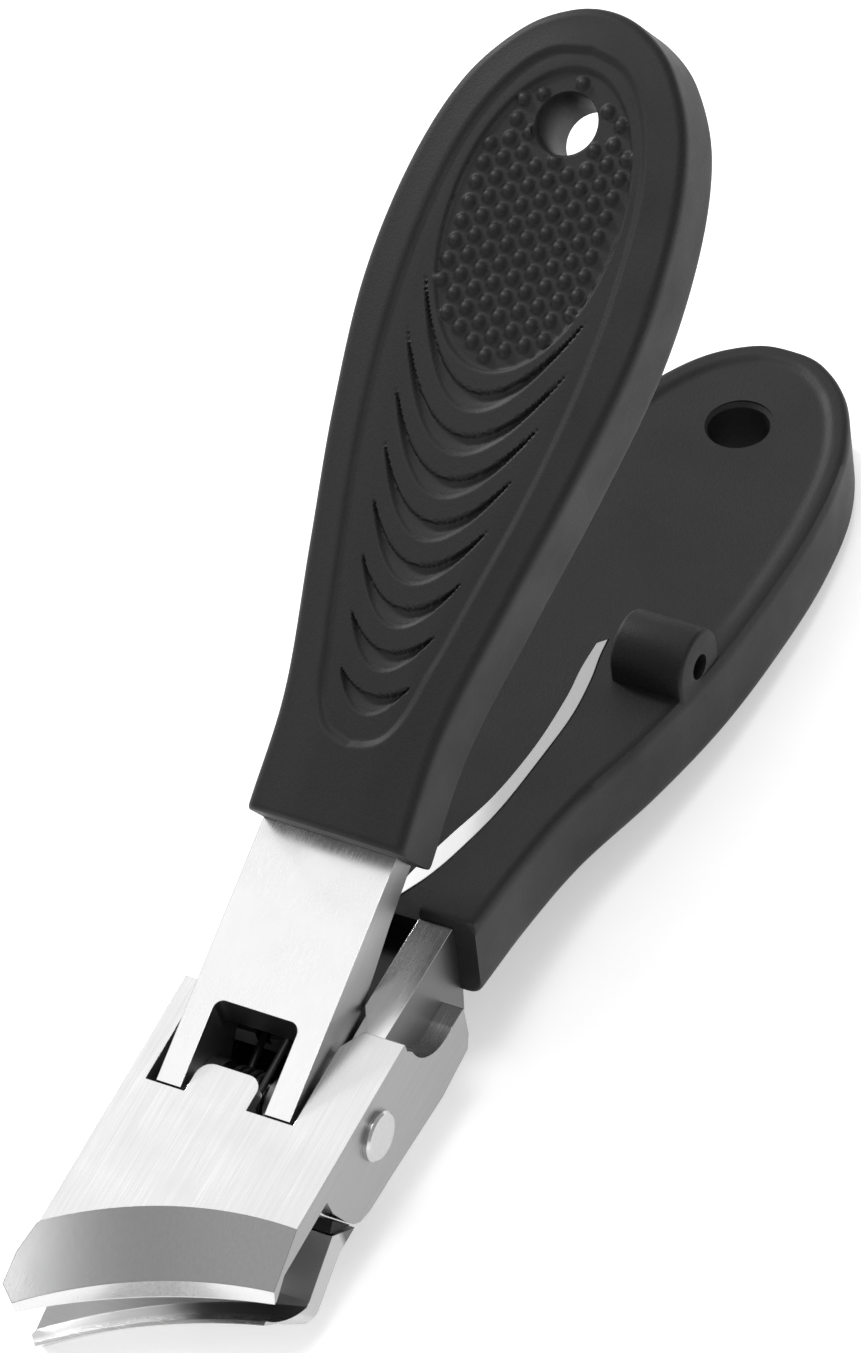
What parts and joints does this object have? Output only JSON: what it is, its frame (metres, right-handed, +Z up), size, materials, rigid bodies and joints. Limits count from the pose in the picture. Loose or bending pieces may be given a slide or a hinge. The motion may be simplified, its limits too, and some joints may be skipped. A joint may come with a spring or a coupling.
{
  "type": "plier nail clipper",
  "caption": "Wide-jaw plier nail clipper: steel head with curved cutting edges on one sprung pivot, and two black soft grips with hanging holes.",
  "frame": {"origin": "centre of the bounding box's footprint, on the surface the clipper lies on", "axes": "+X runs from the grips to the cutting edges, +Y to the clipper's right side seen from behind with the upper jaw up, which is the pin's axis, +Z up"},
  "size_m": [0.1056, 0.0228, 0.0579],
  "materials": {
    "brushed_head": "fine brushed",
    "brushed_lever": "fine brushed",
    "bright_pin": "turned, nearly bright",
    "black_plastic": "plain moulded",
    "spring_wire": "blackened wire",
    "black_rubber": "fine grained soft-touch"
  },
  "bodies": {
    "frame": {"upper_jaw": "brushed_head", "lower_tang": "brushed_head", "lower_grip": "black_rubber", "pivot_pin": "bright_pin", "left_washer": "black_plastic", "right_washer": "black_plastic", "return_spring_fixed_half": "spring_wire"},
    "lever": {"lower_jaw": "brushed_lever", "splash_guard": "black_plastic", "upper_tang": "brushed_lever", "upper_grip": "black_rubber", "left_tie_rivet": "bright_pin", "right_tie_rivet": "bright_pin", "return_spring_moving_half": "spring_wire"}
  },
  "joints": [
    {"name": "pivot", "type": "hinge", "parent": "frame", "child": "lever", "pos_m": [0.03003, 0, 0.01031], "axis": [0, -1, 0], "range_deg": [0, 13], "stiffness_Nm_per_rad": 0.9, "springref_deg": -10.31}
  ]
}
